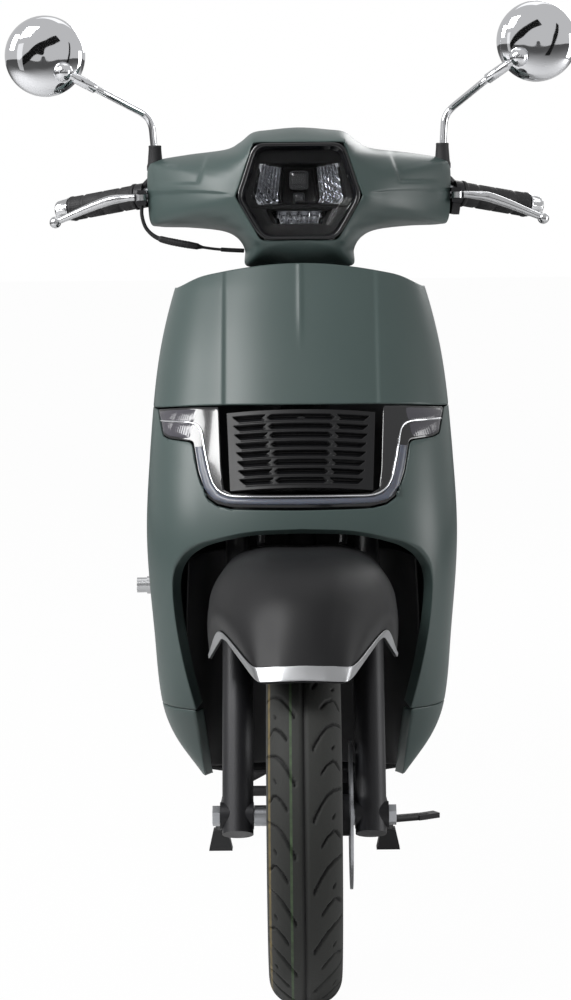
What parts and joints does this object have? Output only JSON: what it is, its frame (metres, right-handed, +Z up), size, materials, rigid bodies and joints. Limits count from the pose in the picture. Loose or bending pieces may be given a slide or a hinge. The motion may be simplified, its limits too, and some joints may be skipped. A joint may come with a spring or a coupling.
{
  "type": "moped scooter",
  "caption": "Step-through electric moped scooter with a painted front shield, light bar and grille, telescopic fork, twin rear shocks, hub motor, long seat and centre stand.",
  "frame": {"origin": "on the ground, under the middle of the overall length, on the scooter's middle plane", "axes": "+Z is up, the scooter faces -Y, +X is the rider's left"},
  "size_m": [0.769, 1.8002, 1.259],
  "materials": {
    "body_green": "satin painted plastic",
    "black_plastic": "grained black plastic",
    "gloss_black": "gloss black plastic",
    "fender_black": "satin dark plastic",
    "frame_black": "black powder coat",
    "fork_black": "satin black paint",
    "alloy_black": "black painted alloy",
    "alloy": "polished alloy",
    "steel": "brushed steel",
    "chrome": "polished chrome",
    "trim_silver": "brushed silver trim",
    "rubber": "matt rubber",
    "tyre": "tyre rubber",
    "clear_lens": "clear moulded lens",
    "white_lens": "white light guide",
    "red_lens": "red moulded lens",
    "mirror_glass": "silvered glass",
    "seat_cover": "grained seat cover",
    "battery_case": "painted metal case",
    "red_button": "red plastic"
  },
  "bodies": {
    "chassis": {"frame": "frame_black", "swingarm_axle": "steel", "front_cover": "body_green", "front_apron": "body_green", "lower_wings": "body_green", "front_grille": "black_plastic", "light_bar_housing": "gloss_black", "light_bar_lens": "white_lens", "wheel_arch_liner": "black_plastic", "inner_leg_shield": "black_plastic", "floorboard": "black_plastic", "belly_pan": "black_plastic", "side_panels": "body_green", "seat_skirt": "body_green", "tail_light": "red_lens", "rear_mudguard": "black_plastic", "grab_rail": "frame_black", "storage_bucket": "black_plastic", "battery_pack": "battery_case"},
    "key": {"key_switch": "steel"},
    "seat": {"seat_base": "black_plastic", "seat_cushion": "seat_cover"},
    "stand": {"centre_stand": "frame_black"},
    "prop": {"side_stand": "frame_black"},
    "left_peg": {"peg_left": "rubber"},
    "right_peg": {"peg_right": "rubber"},
    "swing": {"swingarm": "frame_black", "rear_axle": "steel"},
    "rear_wheel": {"rear_tyre": "tyre", "rear_hub_motor": "alloy_black"},
    "shock_upper": {"shock_bodies": "alloy_black", "shock_springs": "steel"},
    "shock_lower": {"shock_rods": "steel"},
    "steering": {"steering_fork": "fork_black", "handlebar": "steel", "bar_cover_front": "body_green", "bar_cover_rear": "black_plastic", "headlight_bezel": "gloss_black", "headlight_lens": "clear_lens", "headlight_reflector": "chrome", "left_grip": "rubber", "lever_perches": "alloy_black", "brake_cable": "rubber", "front_fender": "fender_black", "fender_trim": "trim_silver", "mirror_stems": "steel"},
    "throttle": {"throttle_grip": "rubber"},
    "lever_left": {"brake_lever_left": "alloy"},
    "lever_right": {"brake_lever_right": "alloy"},
    "mirror_left": {"mirror_head_left": "chrome", "mirror_glass_left": "mirror_glass"},
    "mirror_right": {"mirror_head_right": "chrome", "mirror_glass_right": "mirror_glass"},
    "horn": {"horn_button": "red_button"},
    "fork_lower": {"fork_sliders": "alloy_black", "front_axle": "steel", "brake_caliper": "alloy_black"},
    "front_wheel": {"front_tyre": "tyre", "front_rim": "alloy_black", "brake_disc": "steel"}
  },
  "joints": [
    {"name": "key_turn", "type": "hinge", "parent": "chassis", "child": "key", "pos_m": [0.052, -0.228, 0.838], "axis": [0, 1, 0], "range_deg": [0, 90]},
    {"name": "seat_open", "type": "hinge", "parent": "chassis", "child": "seat", "pos_m": [0, 0.034, 0.694], "axis": [1, 0, 0], "range_deg": [0, 70]},
    {"name": "centre_stand_fold", "type": "hinge", "parent": "chassis", "child": "stand", "pos_m": [0, 0.169, 0.165], "axis": [1, 0, 0], "range_deg": [0, 80]},
    {"name": "side_stand_fold", "type": "hinge", "parent": "chassis", "child": "prop", "pos_m": [0.105, -0.106, 0.205], "axis": [1, 0, 0], "range_deg": [-80, 0], "stiffness_Nm_per_rad": 3, "springref_deg": 34.38},
    {"name": "left_peg_fold", "type": "hinge", "parent": "chassis", "child": "left_peg", "pos_m": [0.166, 0.334, 0.385], "axis": [0, 0, 1], "range_deg": [-90, 0]},
    {"name": "right_peg_fold", "type": "hinge", "parent": "chassis", "child": "right_peg", "pos_m": [-0.166, 0.334, 0.385], "axis": [0, 0, 1], "range_deg": [-90, 0]},
    {"name": "swing_travel", "type": "hinge", "parent": "chassis", "child": "swing", "pos_m": [0, 0.264, 0.255], "axis": [1, 0, 0], "range_deg": [0, 9], "stiffness_Nm_per_rad": 3000, "springref_deg": -1.72},
    {"name": "rear_wheel_spin", "type": "hinge", "parent": "swing", "child": "rear_wheel", "pos_m": [0, 0.634, 0.245], "axis": [1, 0, 0], "continuous": true},
    {"name": "shock_tilt", "type": "hinge", "parent": "chassis", "child": "shock_upper", "pos_m": [0, 0.544, 0.56], "axis": [1, 0, 0], "range_deg": [0, 2]},
    {"name": "shock_slide", "type": "slide", "parent": "shock_upper", "child": "shock_lower", "axis": [0, -0.2545, 0.9671], "range_m": [0, 0.0556], "deforming": ["shock_springs"]},
    {"name": "steering_turn", "type": "hinge", "parent": "chassis", "child": "steering", "pos_m": [0, -0.751, 0], "axis": [0, 0.4384, 0.8988], "range_deg": [-32, 32]},
    {"name": "fork_travel", "type": "slide", "parent": "steering", "child": "fork_lower", "axis": [0, 0.4384, 0.8988], "range_m": [0, 0.06], "stiffness_N_per_m": 12000, "springref_m": -0.025},
    {"name": "front_wheel_spin", "type": "hinge", "parent": "fork_lower", "child": "front_wheel", "pos_m": [0, -0.666, 0.233], "axis": [1, 0, 0], "continuous": true},
    {"name": "throttle_twist", "type": "hinge", "parent": "steering", "child": "throttle", "pos_m": [-0.2711, -0.2104, 0.9937], "axis": [-0.9114, 0.3798, -0.1582], "range_deg": [0, 70], "stiffness_Nm_per_rad": 0.15, "springref_deg": -17.19},
    {"name": "left_lever_pull", "type": "hinge", "parent": "steering", "child": "lever_left", "pos_m": [0.21358, -0.26792, 1.001], "axis": [0, 0, 1], "range_deg": [0, 11], "stiffness_Nm_per_rad": 4, "springref_deg": -5.73},
    {"name": "right_lever_pull", "type": "hinge", "parent": "steering", "child": "lever_right", "pos_m": [-0.21358, -0.26792, 1.001], "axis": [0, 0, 1], "range_deg": [-11, 0], "stiffness_Nm_per_rad": 4, "springref_deg": 5.73},
    {"name": "left_mirror_tilt", "type": "hinge", "parent": "steering", "child": "mirror_left", "pos_m": [0.295, -0.318, 1.183], "axis": [1, 0, 0], "range_deg": [-12, 12]},
    {"name": "right_mirror_tilt", "type": "hinge", "parent": "steering", "child": "mirror_right", "pos_m": [-0.314, -0.318, 1.169], "axis": [1, 0, 0], "range_deg": [-12, 12]},
    {"name": "horn_press", "type": "slide", "parent": "steering", "child": "horn", "axis": [0.3846, -0.9231, 0], "range_m": [0, 0.002], "stiffness_N_per_m": 800, "springref_m": -0.001}
  ],
  "couplings": [
    {"joint": "shock_tilt", "follows": "swing_travel", "ratio": 0.19682},
    {"joint": "shock_slide", "follows": "swing_travel", "m_per_rad": 0.35122}
  ]
}
